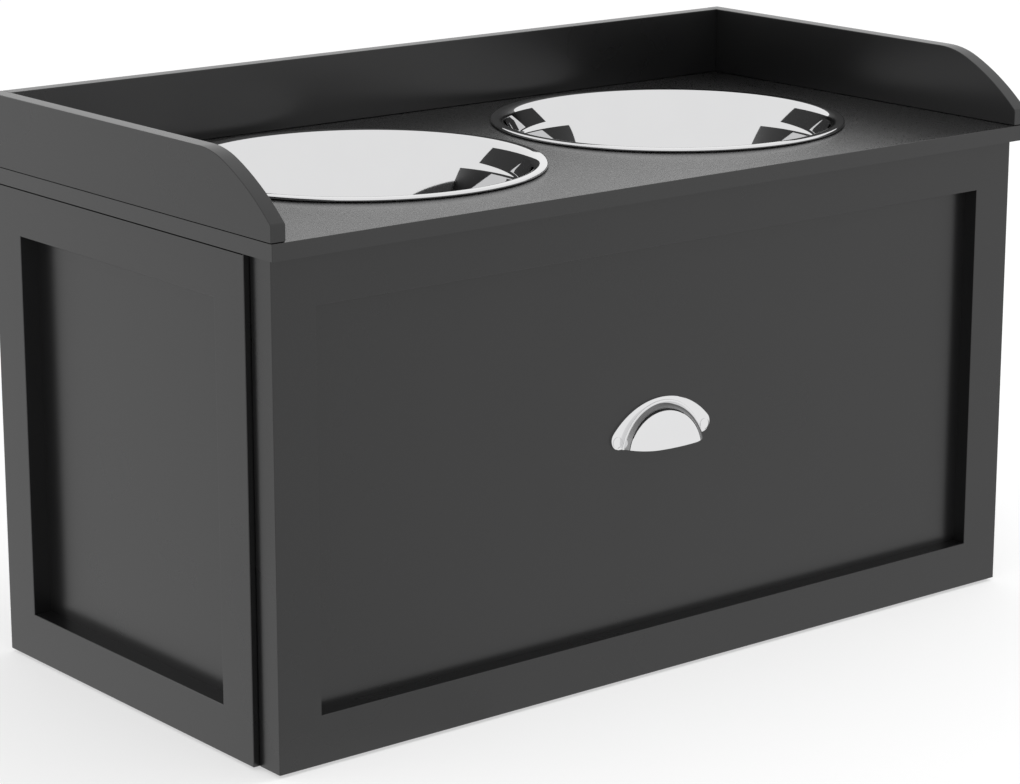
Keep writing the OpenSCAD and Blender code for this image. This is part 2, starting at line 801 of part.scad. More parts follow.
// Drawer box: its bottom slides in grooves of the four boards
module drawer_bottom_block() {
    block([-box_in_x - groove_d, front_back_y + box_t - groove_d, bottom_z],
        [box_in_x + groove_d, box_back_y - box_t + groove_d, bottom_z + box_bottom_t]);
}

module drawer_bottom() { color(hardboard) drawer_bottom_block(); }

module drawer_side() {
    color(charcoal) difference() {
        block([box_in_x, front_back_y, box_z], [box_x, box_back_y, box_z + box_h]);
        drawer_bottom_block();
        box_screw_group(bore_fit);
        at_drawer_runner_screws() cylinder(r = screw_r + bore_fit, h = runner_screw_len);
    }
}

module drawer_side_right() { drawer_side(); }
module drawer_side_left() { mirror([1, 0, 0]) drawer_side(); }

module drawer_end(y) {
    color(charcoal) difference() {
        block([-box_in_x, y, box_z], [box_in_x, y + box_t, box_z + box_h]);
        drawer_bottom_block();
        box_screw_group(bore_fit);
        children();
    }
}

module drawer_box_front() {
    drawer_end(front_back_y) at_front_screws() flat_screw(front_screw_len, bore_fit);
}

module drawer_box_back() { drawer_end(box_back_y - box_t); }

module box_screw_group(fit = 0) {
    both_sides() for (y = [front_back_y + box_t / 2, box_back_y - box_t / 2], z = box_screw_zs())
        translate([box_x, y, z]) rotate([0, -90, 0]) flat_screw(box_screw_len, fit);
}

module drawer_box_screws() { color(zinc) box_screw_group(); }

// Screws from inside the box that hold the drawer front
module at_front_screws() {
    both_sides() for (z = box_screw_zs())
        translate([box_in_x - front_screw_from_side, front_back_y + box_t, z]) rotate([90, 0, 0]) children();
}

module drawer_front_screws() { color(zinc) at_front_screws() flat_screw(front_screw_len); }

// Cup pull, drawn looking at the drawer with z = 0 on its screw line
module at_pull() {
    translate([0, panel_face_y, pull_z]) children();
}

module pull_flange_outline() {
    intersection() {
        translate([0, pull_arc_z]) circle(r = pull_arc_r);
        translate([-pull_blend_x, pull_end_z]) square([2 * pull_blend_x, pull_top - pull_end_z]);
    }
    for (s = [-1, 1]) translate([s * pull_end_x, pull_end_z]) circle(r = pull_end_r);
    translate([-pull_end_x, pull_foot_z]) square([2 * pull_end_x, pull_end_r]);
}

// Half section of the cup, grown or shrunk by grow, with the drawer's panel at y = 0
module cup_section(grow) {
    blend_x = cup_corner_x + (cup_corner_r + grow) * cup_corner_x / cup_blend_reach;
    intersection() {
        union() {
            translate([cup_corner_x, -cup_corner_back]) circle(r = cup_corner_r + grow);
            intersection() {
                translate([0, pull_reach - cup_front_r]) circle(r = cup_front_r + grow);
                translate([0, -over]) square([blend_x, cup_front_r]);
            }
        }
        translate([0, -over]) square(cup_front_r);
    }
}

// Cup turned about its axis, which is square to the drawer's panel
module cup_form(grow) {
    translate([0, 0, -cup_drop]) rotate([90, 0, 0]) rotate_extrude() cup_section(grow);
}

// The space in front of the drawer's panel, above the cup's lip
module pull_room(reach) {
    block([-body_w / 2, -reach, -cup_lip_drop], [body_w / 2, 0, pull_arc_r]);
}

module cup_pull() {
    color(chrome) at_pull() difference() {
        union() {
            rotate([90, 0, 0]) linear_extrude(pull_flange_t) pull_flange_outline();
            intersection() {
                cup_form(0);
                pull_room(pull_reach + over);
            }
            intersection() {
                cup_form(cup_step_w);
                block([-body_w / 2, -cup_step_h, pull_foot_z], [body_w / 2, 0, pull_arc_r]);
            }
        }
        cup_form(-cup_wall);
        for (s = [-1, 1]) pin_y([s * pull_pitch / 2, -pull_flange_t - over, 0],
            screw_r + bore_fit, pull_flange_t + 2 * over);
    }
}

module at_pull_screws() {
    for (s = [-1, 1]) translate([s * pull_pitch / 2, panel_face_y, pull_z]) rotate([-90, 0, 0]) children();
}

// Round-headed screws of the pull: the head is a slice of a ball
module pull_screws() {
    dome_r = (pow(pull_head_r, 2) + pow(pull_head_h, 2)) / (2 * pull_head_h);
    color(chrome) at_pull_screws() {
        translate([0, 0, -pull_flange_t]) cylinder(r = screw_r, h = pull_flange_t + pull_screw_len);
        translate([0, 0, -pull_flange_t]) intersection() {
            translate([0, 0, dome_r - pull_head_h]) sphere(r = dome_r);
            translate([0, 0, -pull_head_h]) cylinder(r = pull_head_r, h = pull_head_h);
        }
    }
}

// Points along an arc about c, from angle a0 to a1 in n steps
function arc_points(c, r, a0, a1, n) =
    [for (i = [0:n]) let (a = a0 + (a1 - a0) * i / n) [c[0] + r * cos(a), c[1] + r * sin(a)]];

// Half section of a bowl: out along the underside, round the bead, back along the inside
function bowl_section() = concat(
    [[0, bowl_base_z + bowl_dish], [bowl_dish_r - bowl_sheet, bowl_base_z + bowl_dish],
        [bowl_dish_r, bowl_base_z]],
    arc_points(bowl_corner, bowl_corner_r, -90, -bowl_lean, arc_steps),
    arc_points(bowl_shoulder, bowl_shoulder_r - bowl_sheet, 180 - bowl_lean, 90, arc_steps),
    arc_points(bowl_bead, bowl_bead_r, 180 - asin(1 - bowl_sheet / bowl_bead_r), 450, 2 * arc_steps),
    arc_points(bowl_shoulder, bowl_shoulder_r, 90, 180 - bowl_lean, arc_steps),
    arc_points(bowl_corner, bowl_corner_r - bowl_sheet, -bowl_lean, -90, arc_steps),
    [[bowl_dish_r + bowl_sheet, bowl_base_z + bowl_sheet],
        [bowl_dish_r, bowl_base_z + bowl_dish + bowl_sheet], [0, bowl_base_z + bowl_dish + bowl_sheet]]);

module bowl() { color(chrome) rotate_extrude() polygon(bowl_section()); }

module bowl_right() { translate([bowl_x, bowl_y, 0]) bowl(); }
module bowl_left() { translate([-bowl_x, bowl_y, 0]) bowl(); }

top_board();
gallery_left();
gallery_right();
gallery_back();
gallery_screws();
left_side_panel();
left_front_stile();
left_rear_stile();
left_top_rail();
left_bottom_rail();
right_side_panel();
right_front_stile();
right_rear_stile();
right_top_rail();
right_bottom_rail();
side_frame_dowels();
carcass_dowels();
bottom_panel();
back_panel();
back_panel_screws();
front_stretcher();
rear_stretcher();
angle_brackets();
bracket_screws();
cam_locks();
cam_bolts();
rubber_feet();
carcass_runner_left();
carcass_runner_right();
carcass_runner_screws();
front_roller_left();
front_roller_right();
drawer_front_panel();
drawer_front_left_stile();
drawer_front_right_stile();
drawer_front_top_rail();
drawer_front_bottom_rail();
drawer_front_dowels();
drawer_side_left();
drawer_side_right();
drawer_box_front();
drawer_box_back();
drawer_bottom();
drawer_box_screws();
drawer_front_screws();
drawer_runner_left();
drawer_runner_right();
drawer_runner_screws();
rear_roller_left();
rear_roller_right();
cup_pull();
pull_screws();
bowl_left();
bowl_right();
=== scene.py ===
"""A raised dog feeding station with a storage drawer, dressed for the studio.

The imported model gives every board, runner and screw its place. This script rebuilds the painted boards, the
bowls and the cup pull as finished meshes, gives each piece its finish, and sets up the light and the camera.
"""

from __future__ import annotations

import json
import logging
import math
from collections.abc import Callable, Iterable, Sequence
from dataclasses import dataclass
from enum import Enum

import bmesh
import bpy
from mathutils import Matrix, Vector


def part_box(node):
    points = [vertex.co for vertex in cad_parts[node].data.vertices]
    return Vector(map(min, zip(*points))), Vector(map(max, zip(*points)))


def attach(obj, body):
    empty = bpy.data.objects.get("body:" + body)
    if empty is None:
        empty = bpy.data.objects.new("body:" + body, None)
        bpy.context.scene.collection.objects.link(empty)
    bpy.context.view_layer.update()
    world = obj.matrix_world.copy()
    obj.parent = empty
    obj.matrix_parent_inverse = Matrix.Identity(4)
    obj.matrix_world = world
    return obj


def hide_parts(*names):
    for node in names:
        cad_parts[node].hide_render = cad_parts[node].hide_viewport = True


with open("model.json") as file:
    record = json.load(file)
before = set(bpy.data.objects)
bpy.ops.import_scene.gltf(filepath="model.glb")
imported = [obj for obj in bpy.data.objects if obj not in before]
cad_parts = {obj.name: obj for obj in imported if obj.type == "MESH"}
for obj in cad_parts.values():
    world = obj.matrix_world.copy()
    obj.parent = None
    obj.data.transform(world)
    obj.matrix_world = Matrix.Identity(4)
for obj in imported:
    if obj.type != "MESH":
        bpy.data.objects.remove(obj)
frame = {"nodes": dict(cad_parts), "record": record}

log = logging.getLogger("feeder")

MM = 0.001
CABINET = "cabinet"
DRAWER = "drawer"

NEAR = 0.01 * MM  # Points this close lie on one plane.
WELD = 1e-7  # Points this close are merged.
LOOSE = 1e-6  # Corners of packed triangles this close are merged.
SLIVER = 1e-8  # Edges this short are dropped.
FLUSH = 0.5  # Packed triangles that meet at less than this angle are merged, in degrees.
SQUARE = 50.0  # Faces that meet at more than this angle make a corner, in degrees.
LEVEL = 0.99  # A face whose normal is at least this upright lies flat.

ARRIS = 0.45 * MM  # The rounding of painted edges.
GALLERY_JOINT = 0.45 * MM  # The dark line below the gallery.
SIDE_JOINT = 1.1 * MM  # The dark line between the carcass sides and the top board.

Pair = tuple[float, float]
Triple = tuple[float, float, float]
Colour = Triple
Place = Callable[[float, float], Vector]


class Slot(Enum):
    """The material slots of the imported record."""

    BOARD = "painted_board"
    HARDBOARD = "hardboard"
    BEECH = "beech"
    ZINC = "zinc_steel"
    RUBBER = "rubber"
    ENAMEL = "enamel_steel"
    PULL = "chrome_pull"
    NYLON = "nylon"
    BOWL = "bowl_steel"


class Axis(Enum):
    """The three axes of the feeder's frame."""

    X = 0
    Y = 1
    Z = 2

    def vector(self) -> Vector:
        """Returns the unit vector along this axis."""
        return Vector([1.0 if index == self.value else 0.0 for index in range(3)])


@dataclass(frozen=True)
class Box:
    """A box in the feeder's frame, in metres."""

    lo: Vector
    hi: Vector

    @classmethod
    def of(cls, *nodes: str) -> Box:
        """Measures the box round several nodes.

        Args:
            nodes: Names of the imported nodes.

        Returns:
            The smallest box that holds them all.
        """
        boxes = [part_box(node) for node in nodes]
        lo = Vector([min(low[k] for low, _ in boxes) for k in range(3)])
        hi = Vector([max(high[k] for _, high in boxes) for k in range(3)])
        return cls(lo, hi)

    @property
    def middle(self) -> Vector:
        """The middle of the box."""
        return (self.lo + self.hi) / 2

    @property
    def size(self) -> Vector:
        """The box's three lengths."""
        return self.hi - self.lo


class Wire:
    """An output socket, whose sums and products add the Math nodes that they need."""

    def __init__(self, sheet: Sheet, socket: bpy.types.NodeSocket) -> None:
        """Keeps the sheet and the socket.

        Args:
            sheet: The node sheet that the socket belongs to.
            socket: The output socket.
        """
        self.sheet = sheet
        self.socket = socket

    def __add__(self, other: Wire | float) -> Wire:
        """Returns the sum."""
        return self.sheet.node("ShaderNodeMath", {"operation": "ADD"}, {0: self, 1: other})

    def __mul__(self, other: Wire | float) -> Wire:
        """Returns the product."""
        return self.sheet.node("ShaderNodeMath", {"operation": "MULTIPLY"}, {0: self, 1: other})

    def ramp(self, low: float, high: float) -> Wire:
        """Maps a range smoothly on to 0 to 1.

        Args:
            low: The value that becomes 0.
            high: The value that becomes 1.

        Returns:
            The mapped value.
        """
        settings = {"interpolation_type": "SMOOTHSTEP"}
        values = {"Value": self, "From Min": low, "From Max": high, "To Min": 0.0, "To Max": 1.0}
        return self.sheet.node("ShaderNodeMapRange", settings, values)


class Sheet:
    """The node sheet of one material or of the world."""

    noise_roughness = 0.55

    def __init__(self, tree: bpy.types.NodeTree) -> None:
        """Starts an empty sheet.

        Args:
            tree: The node tree to fill.
        """
        self.tree = tree
        tree.nodes.clear()

    def raw(self, kind: str, settings: dict, values: dict) -> bpy.types.Node:
        """Adds a node.

        Args:
            kind: The node's type.
            settings: Its properties, set before its sockets.
            values: Its inputs by name or number, as wires or as values.

        Returns:
            The node.
        """
        node = self.tree.nodes.new(kind)
        for key, value in settings.items():
            setattr(node, key, value)
        for key, value in values.items():
            if isinstance(value, Wire):
                self.tree.links.new(value.socket, node.inputs[key])
            else:
                node.inputs[key].default_value = value
        return node

    def node(
        self, kind: str, settings: dict | None = None, values: dict | None = None, out: int | str = 0
    ) -> Wire:
        """Adds a node and picks one of its outputs.

        Args:
            kind: The node's type.
            settings: Its properties.
            values: Its inputs.
            out: The output that is wanted, by name or number.

        Returns:
            That output as a wire.
        """
        return Wire(self, self.raw(kind, settings or {}, values or {}).outputs[out])

    def place(self) -> Wire:
        """Returns the object coordinates, in metres."""
        return self.node("ShaderNodeTexCoord", out="Object")

    def noise(self, feature: float, detail: float = 2.0, stretch: Triple = (1.0, 1.0, 1.0)) -> Wire:
        """Adds a noise pattern.

        Args:
            feature: The size of the pattern's grains, in metres.
            detail: How many finer layers it has.
            stretch: How much finer the grains are along each axis.

        Returns:
            The pattern, from 0 to 1.
        """
        place = self.place()
        if stretch != (1.0, 1.0, 1.0):
            place = self.node("ShaderNodeMapping", {}, {"Vector": place, "Scale": stretch})
        values = {"Vector": place, "Scale": 1.0 / feature, "Detail": detail, "Roughness": self.noise_roughness}
        return self.node("ShaderNodeTexNoise", {}, values)

    def blend(self, amount: Wire, first: Sequence[float], second: Sequence[float]) -> Wire:
        """Blends two colours.

        Args:
            amount: 0 for the first colour and 1 for the second.
            first: The first colour.
            second: The second colour.

        Returns:
            The blended colour.
        """
        mix = self.raw("ShaderNodeMix", {"data_type": "RGBA"}, {"Factor": amount})
        for socket, colour in zip([s for s in mix.inputs if s.type == "RGBA"], (first, second)):
            socket.default_value = (*colour, 1.0)
        return Wire(self, next(s for s in mix.outputs if s.type == "RGBA"))

    def bump(self, height: Wire, distance: float = 1.0) -> Wire:
        """Adds a bump.

        Args:
            height: The pattern that gives the height.
            distance: How high its value of 1 stands, in metres.

        Returns:
            The bumped normal.
        """
        return self.node("ShaderNodeBump", {}, {"Height": height, "Distance": distance, "Strength": 1.0})


class Finish:
    """A finish that dresses pieces of one material slot."""

    slot: Slot
    name: str

    def paint(self, sheet: Sheet) -> dict:
        """Works out the Principled shader's inputs.

        Args:
            sheet: The material's node sheet.

        Returns:
            The inputs by name.
        """
        raise NotImplementedError

    def material(self) -> bpy.types.Material:
        """Makes the material, or finds it where it was made before.

        Returns:
            The material.
        """
        known = bpy.data.materials.get(self.name)
        if known:
            return known
        material = bpy.data.materials.new(self.name)
        material.use_nodes = True
        sheet = Sheet(material.node_tree)
        shader = sheet.node("ShaderNodeBsdfPrincipled", {}, self.paint(sheet))
        sheet.raw("ShaderNodeOutputMaterial", {}, {"Surface": shader})
        log.info("finish %s", self.name)
        return material


@dataclass(frozen=True)
class SatinPaint(Finish):
    """Sprayed charcoal paint: dark, with a satin sheen and a fine orange peel."""

    name: str = "charcoal_satin"
    slot: Slot = Slot.BOARD
    colour: Colour = (0.0055, 0.0055, 0.0057)
    roughness: float = 0.28
    gloss: float = 1.555
    peel: float = 1.6 * MM
    peel_height: float = 0.004 * MM
    grain: float = 0.45 * MM
    grain_height: float = 0.0015 * MM
    cloud: float = 90 * MM
    cloud_ramp: Pair = (0.35, 0.65)
    shade: float = 0.08
    roughness_play: float = 0.03

    def paint(self, sheet: Sheet) -> dict:
        """Paints a faint clouding over fine peel and grain."""
        cloud = sheet.noise(self.cloud, 3.0)
        darker = [c * (1 - self.shade) for c in self.colour]
        lighter = [c * (1 + self.shade) for c in self.colour]
        peel = sheet.noise(self.peel, 1.0) * self.peel_height
        grain = sheet.noise(self.grain, 1.0) * self.grain_height
        return {
            "Base Color": sheet.blend(cloud.ramp(*self.cloud_ramp), darker, lighter),
            "Roughness": cloud * (2 * self.roughness_play) + (self.roughness - self.roughness_play),
            "IOR": self.gloss,
            "Normal": sheet.bump(peel + grain),
        }


@dataclass(frozen=True)
class TexturedPaint(Finish):
    """The top board's hard-wearing paint, sprayed with a fine grain."""

    name: str = "charcoal_textured"
    slot: Slot = Slot.BOARD
    colour: Colour = (0.0075, 0.0075, 0.0077)
    roughness: float = 0.29
    gloss: float = 1.6
    grain: float = 0.85 * MM
    grain_height: float = 0.05 * MM
    grain_ramp: Pair = (0.35, 0.65)
    grain_play: float = 0.3
    cloud: float = 60 * MM
    cloud_play: float = 0.05
    darker: float = 0.7
    lighter: float = 1.5

    def paint(self, sheet: Sheet) -> dict:
        """Paints a grain that varies in colour and gloss."""
        grain = sheet.noise(self.grain, 1.0)
        cloud = sheet.noise(self.cloud)
        darker = [c * self.darker for c in self.colour]
        lighter = [c * self.lighter for c in self.colour]
        least = self.roughness - (self.cloud_play + self.grain_play) / 2
        return {
            "Base Color": sheet.blend(grain.ramp(*self.grain_ramp), darker, lighter),
            "Roughness": cloud * self.cloud_play + grain * self.grain_play + least,
            "IOR": self.gloss,
            "Normal": sheet.bump(grain, self.grain_height),
        }


@dataclass(frozen=True)
class Metal(Finish):
    """A bare or plated metal with a fine surface pattern."""

    name: str
    slot: Slot
    colour: Colour
    roughness: float
    play: float = 0.01
    pattern: float = 4 * MM
    stretch: Triple = (1.0, 1.0, 1.0)
    height: float = 0.0
    shade: float = 0.03
    shade_ramp: Pair = (0.3, 0.7)

    def paint(self, sheet: Sheet) -> dict:
        """Paints a metal with a little play in its colour and gloss."""
        pattern = sheet.noise(self.pattern, 3.0, self.stretch)
        darker = [c * (1 - self.shade) for c in self.colour]
        inputs = {
            "Base Color": sheet.blend(pattern.ramp(*self.shade_ramp), darker, self.colour),
            "Metallic": 1.0,
            "Roughness": pattern * (2 * self.play) + max(self.roughness - self.play, 0.0),
        }
        if self.height:
            inputs["Normal"] = sheet.bump(pattern, self.height)
        return inputs


@dataclass(frozen=True)
class Moulded(Finish):
    """Rubber, nylon or epoxy coating: one colour with a faint mottle and peel."""

    name: str
    slot: Slot
    colour: Colour
    roughness: float
    grain: float = 0.8 * MM
    height: float = 0.004 * MM
    shade: float = 0.05
    mottle: float = 14 * MM
    mottle_ramp: Pair = (0.35, 0.65)
    roughness_play: float = 0.04

    def paint(self, sheet: Sheet) -> dict:
        """Paints one colour with a faint mottle."""
        grain = sheet.noise(self.grain)
        mottle = sheet.noise(self.mottle)
        darker = [c * (1 - self.shade) for c in self.colour]
        return {
            "Base Color": sheet.blend(mottle.ramp(*self.mottle_ramp), darker, self.colour),
            "Roughness": grain * (2 * self.roughness_play) + (self.roughness - self.roughness_play),
            "Normal": sheet.bump(grain, self.height),
        }


@dataclass(frozen=True)
class Beech(Finish):
    """Raw beech of the dowels, with long fine grain."""

    name: str = "beech"
    slot: Slot = Slot.BEECH
    pale: Colour = (0.62, 0.45, 0.27)
    dark: Colour = (0.46, 0.31, 0.17)
    grain: float = 1.2 * MM
    grain_stretch: Triple = (0.3, 1.0, 0.3)
    grain_height: float = 0.02 * MM
    grain_ramp: Pair = (0.35, 0.7)
    roughness: float = 0.5
    roughness_play: float = 0.15

    def paint(self, sheet: Sheet) -> dict:
        """Paints pale wood with dark grain."""
        grain = sheet.noise(self.grain, 3.0, self.grain_stretch)
        return {
            "Base Color": sheet.blend(grain.ramp(*self.grain_ramp), self.pale, self.dark),
            "Roughness": grain * self.roughness_play + self.roughness,
            "Normal": sheet.bump(grain, self.grain_height),
        }


@dataclass(frozen=True)
class Hardboard(Finish):
    """Lacquered hardboard of the back and the drawer's bottom, with pressed fibres."""

    name: str = "hardboard_lacquered"
    slot: Slot = Slot.HARDBOARD
    dark: Colour = (0.016, 0.0155, 0.015)
    pale: Colour = (0.026, 0.0245, 0.023)
    fibre: float = 1.5 * MM
    fibre_stretch: Triple = (0.45, 1.0, 1.0)
    fibre_ramp: Pair = (0.35, 0.7)
    fine: float = 0.5 * MM
    fine_share: float = 0.3
    height: float = 0.025 * MM
    roughness: float = 0.36
    roughness_play: float = 0.16
    gloss: float = 1.5

    def paint(self, sheet: Sheet) -> dict:
        """Paints pressed fibres under a lacquer."""
        fibre = sheet.noise(self.fibre, 4.0, self.fibre_stretch)
        fine = sheet.noise(self.fine)
        surface = fibre * (1 - self.fine_share) + fine * self.fine_share
        return {
            "Base Color": sheet.blend(fibre.ramp(*self.fibre_ramp), self.dark, self.pale),
            "Roughness": fibre * self.roughness_play + self.roughness,
            "IOR": self.gloss,
            "Normal": sheet.bump(surface, self.height),
        }


PAINT = SatinPaint()
# A glossier copy of the satin paint for the top board's edges, so that they read lighter than the drawer front
# below: a stand-in for the shade under the board's overhang, not a real change in the paint.
LIGHTER_EDGE_PAINT = SatinPaint("charcoal_edge_lighter", gloss=1.588)
TOP_PAINT = TexturedPaint()
BOWL_MIRROR = Metal("steel_mirror", Slot.BOWL, (0.73, 0.73, 0.735), 0.025, 0.008, 30 * MM, shade=0.01)
BOWL_SATIN = Metal(
    "steel_satin", Slot.BOWL, (0.60, 0.60, 0.61), 0.32, 0.05, 1.0 * MM, (1.0, 1.0, 8.0), 0.002 * MM, 0.06
)
CHROME = Metal("chrome_plate", Slot.PULL, (0.76, 0.76, 0.765), 0.03, 0.01, 20 * MM, shade=0.01)
ZINC = Metal("zinc_plate", Slot.ZINC, (0.56, 0.57, 0.60), 0.3, 0.08, 1.5 * MM, height=0.004 * MM, shade=0.12)
ENAMEL = Moulded("epoxy_white", Slot.ENAMEL, (0.74, 0.74, 0.72), 0.38)
NYLON = Moulded("nylon_white", Slot.NYLON, (0.78, 0.78, 0.75), 0.45, shade=0.03)
RUBBER = Moulded("rubber_black", Slot.RUBBER, (0.03, 0.03, 0.03), 0.7, 0.6 * MM, 0.02 * MM)
BEECH = Beech()
HARDBOARD = Hardboard()

SLOT_FINISH: dict[str, Finish] = {
    finish.slot.value: finish
    for finish in (PAINT, HARDBOARD, BEECH, ZINC, RUBBER, ENAMEL, CHROME, NYLON, BOWL_MIRROR)
}


class Outline:
    """A chain of points in a plane, drawn with lines and arcs."""

    def __init__(self) -> None:
        """Starts with no points."""
        self.points: list[Pair] = []

    def to(self, across: float, up: float) -> Outline:
        """Goes straight to a point.

        Args:
            across: The point's first coordinate.
            up: Its second coordinate.

        Returns:
            This outline.
        """
        self.points.append((across, up))
        return self

    def arc(self, centre: Sequence[float], radius: float, start: float, end: float, steps: int) -> Outline:
        """Goes along an arc.

        Args:
            centre: The arc's centre.
            radius: Its radius.
            start: The angle that it starts at, in degrees.
            end: The angle that it ends at, in degrees.
            steps: The number of its chords.

        Returns:
            This outline.
        """
        for step in range(steps + 1):
            angle = math.radians(start + (end - start) * step / steps)
            self.to(centre[0] + radius * math.cos(angle), centre[1] + radius * math.sin(angle))
        return self

    def draw(self, mesh: bmesh.types.BMesh, place: Place) -> list[bmesh.types.BMEdge]:
        """Draws the outline into a mesh as a chain of edges.

        Args:
            mesh: The mesh to draw in.
            place: Turns a point of the plane into a point of the frame.

        Returns:
            The chain's edges.
        """
        verts = [mesh.verts.new(place(*point)) for point in self.points]
        return [mesh.edges.new(pair) for pair in zip(verts, verts[1:])]


def baked(name: str, mesh: bmesh.types.BMesh) -> bpy.types.Mesh:
    """Turns a mesh under construction into mesh data, and frees it."""
    data = bpy.data.meshes.new(name)
    mesh.to_mesh(data)
    mesh.free()
    return data


def placed(name: str, data: bpy.types.ID) -> bpy.types.Object:
    """Adds an object with its data to the scene."""
    thing = bpy.data.objects.new(name, data)
    bpy.context.scene.collection.objects.link(thing)
    return thing


@dataclass
class Piece:
    """A mesh under construction, which becomes one object of the scene."""

    name: str
    body: str
    nodes: tuple[str, ...]
    finishes: tuple[Finish, ...]
    mesh: bmesh.types.BMesh
    crease: float = 32.0

    def close(self) -> bpy.types.Object:
        """Turns the mesh into an object that rides on its body.

        Returns:
            The object.
        """
        data = baked(self.name, self.mesh)
        for polygon in data.polygons:
            polygon.use_smooth = True
        data.set_sharp_from_angle(angle=math.radians(self.crease))
        thing = placed(self.name, data)
        flats = thing.modifiers.new("flats", "WEIGHTED_NORMAL")
        flats.keep_sharp = True
        for finish in self.finishes:
            data.materials.append(finish.material())
        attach(thing, self.body)
        if self.nodes:
            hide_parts(*self.nodes)
        log.info("piece %s rides on %s, %d faces", self.name, self.body, len(data.polygons))
        return thing


def round_edges(
    mesh: bmesh.types.BMesh, edges: Iterable[bmesh.types.BMEdge], radius: float, segments: int = 3
) -> None:
    """Rounds edges.

    Args:
        mesh: The mesh that they belong to.
        edges: The edges.
        radius: The rounding's radius, in metres.
        segments: The number of faces across the rounding.
    """
    bmesh.ops.bevel(
        mesh,
        geom=list(edges),
        offset=radius,
        offset_type="OFFSET",
        segments=segments,
        profile=0.5,
        affect="EDGES",
        material=-1,
        clamp_overlap=True,
    )


def spun(outline: Outline, place: Place, centre: Vector, axis: Vector, steps: int) -> bmesh.types.BMesh:
    """Turns an outline about an axis into a closed skin.

    Args:
        outline: The outline, whose ends lie on the axis or on each other.
        place: Turns a point of its plane into a point of the frame.
        centre: A point on the axis.
        axis: The axis.
        steps: The number of steps of a full turn.

    Returns:
        The mesh, its normals outwards.
    """
    mesh = bmesh.new()
    edges = outline.draw(mesh, place)
    geometry = edges + list(mesh.verts)
    bmesh.ops.spin(mesh, geom=geometry, cent=centre, axis=axis, angle=math.tau, steps=steps, use_merge=True)
    bmesh.ops.remove_doubles(mesh, verts=mesh.verts, dist=WELD)
    bmesh.ops.dissolve_degenerate(mesh, edges=mesh.edges, dist=SLIVER)
    bmesh.ops.recalc_face_normals(mesh, faces=mesh.faces)
    return mesh


def cut_flat(mesh: bmesh.types.BMesh, point: Vector, normal: Vector) -> None:
    """Cuts a closed mesh along a plane, drops what lies past it and closes the cut.

    Args:
        mesh: The mesh.
        point: A point on the plane.
        normal: The plane's normal, towards what is dropped.
    """
    geometry = list(mesh.verts) + list(mesh.edges) + list(mesh.faces)
    cut = bmesh.ops.bisect_plane(
        mesh, geom=geometry, plane_co=point, plane_no=normal, clear_outer=True, dist=SLIVER
    )
    rim = [e for e in cut["geom_cut"] if isinstance(e, bmesh.types.BMEdge)]
    bmesh.ops.edgeloop_fill(mesh, edges=rim)
    bmesh.ops.recalc_face_normals(mesh, faces=mesh.faces)


def combined(base: bmesh.types.BMesh, other: bmesh.types.BMesh, operation: str) -> bmesh.types.BMesh:
    """Joins one closed mesh with another, or carves it out.

    Args:
        base: The mesh that is kept.
        other: The mesh that is added or carved out.
        operation: UNION or DIFFERENCE.

    Returns:
        The combined mesh.
    """
    things = [placed("bench", baked("bench", mesh)) for mesh in (base, other)]
    modifier = things[0].modifiers.new("combine", "BOOLEAN")
    modifier.operation = operation
    modifier.solver = "EXACT"
    modifier.object = things[1]
    result = bmesh.new()
    result.from_object(things[0], bpy.context.evaluated_depsgraph_get())
    for thing in things:
        data = thing.data
        bpy.data.objects.remove(thing)
        bpy.data.meshes.remove(data)
    bmesh.ops.remove_doubles(result, verts=result.verts, dist=WELD)
    return result


def is_square(edge: bmesh.types.BMEdge) -> bool:
    """Tells whether an edge's two faces meet at a marked angle."""
    return edge.is_manifold and edge.calc_face_angle(0.0) >= math.radians(SQUARE)


def lies_on(edge: bmesh.types.BMEdge, axis: int, plane: float) -> bool:
    """Tells whether both ends of an edge lie on a plane across one axis."""
    return all(abs(vert.co[axis] - plane) < NEAR for vert in edge.verts)


def draw_back(mesh: bmesh.types.BMesh, height: float, depth: float, reach: float) -> None:
    """Slopes the rim of a flat end, so that the joint there shows as a fine dark line.

    Args:
        mesh: The mesh.
        height: The height of its flat end.
        depth: How far the rim is drawn back.
        reach: How far in the slope starts.
    """
    mesh.normal_update()
    level = [f for f in mesh.faces if abs(f.normal.z) > LEVEL]
    ends = [f for f in level if all(abs(v.co.z - height) < NEAR for v in f.verts)]
    inwards = -depth if ends[0].normal.z > 0 else depth
    bmesh.ops.inset_region(mesh, faces=ends, thickness=reach, use_even_offset=True)
    core = {vert for face in ends for vert in face.verts}
    rim = [v for v in mesh.verts if abs(v.co.z - height) < NEAR and v not in core]
    bmesh.ops.translate(mesh, verts=rim, vec=(0, 0, inwards))


def welded_copy(node: str) -> bmesh.types.BMesh:
    """Copies a packed board and merges its loose triangles into flat faces.

    Args:
        node: The board's name.

    Returns:
        The merged copy.
    """
    mesh = bmesh.new()
    mesh.from_mesh(frame["nodes"][node].data)
    bmesh.ops.remove_doubles(mesh, verts=mesh.verts, dist=LOOSE)
    bmesh.ops.dissolve_limit(mesh, angle_limit=math.radians(FLUSH), verts=mesh.verts, edges=mesh.edges)
    return mesh


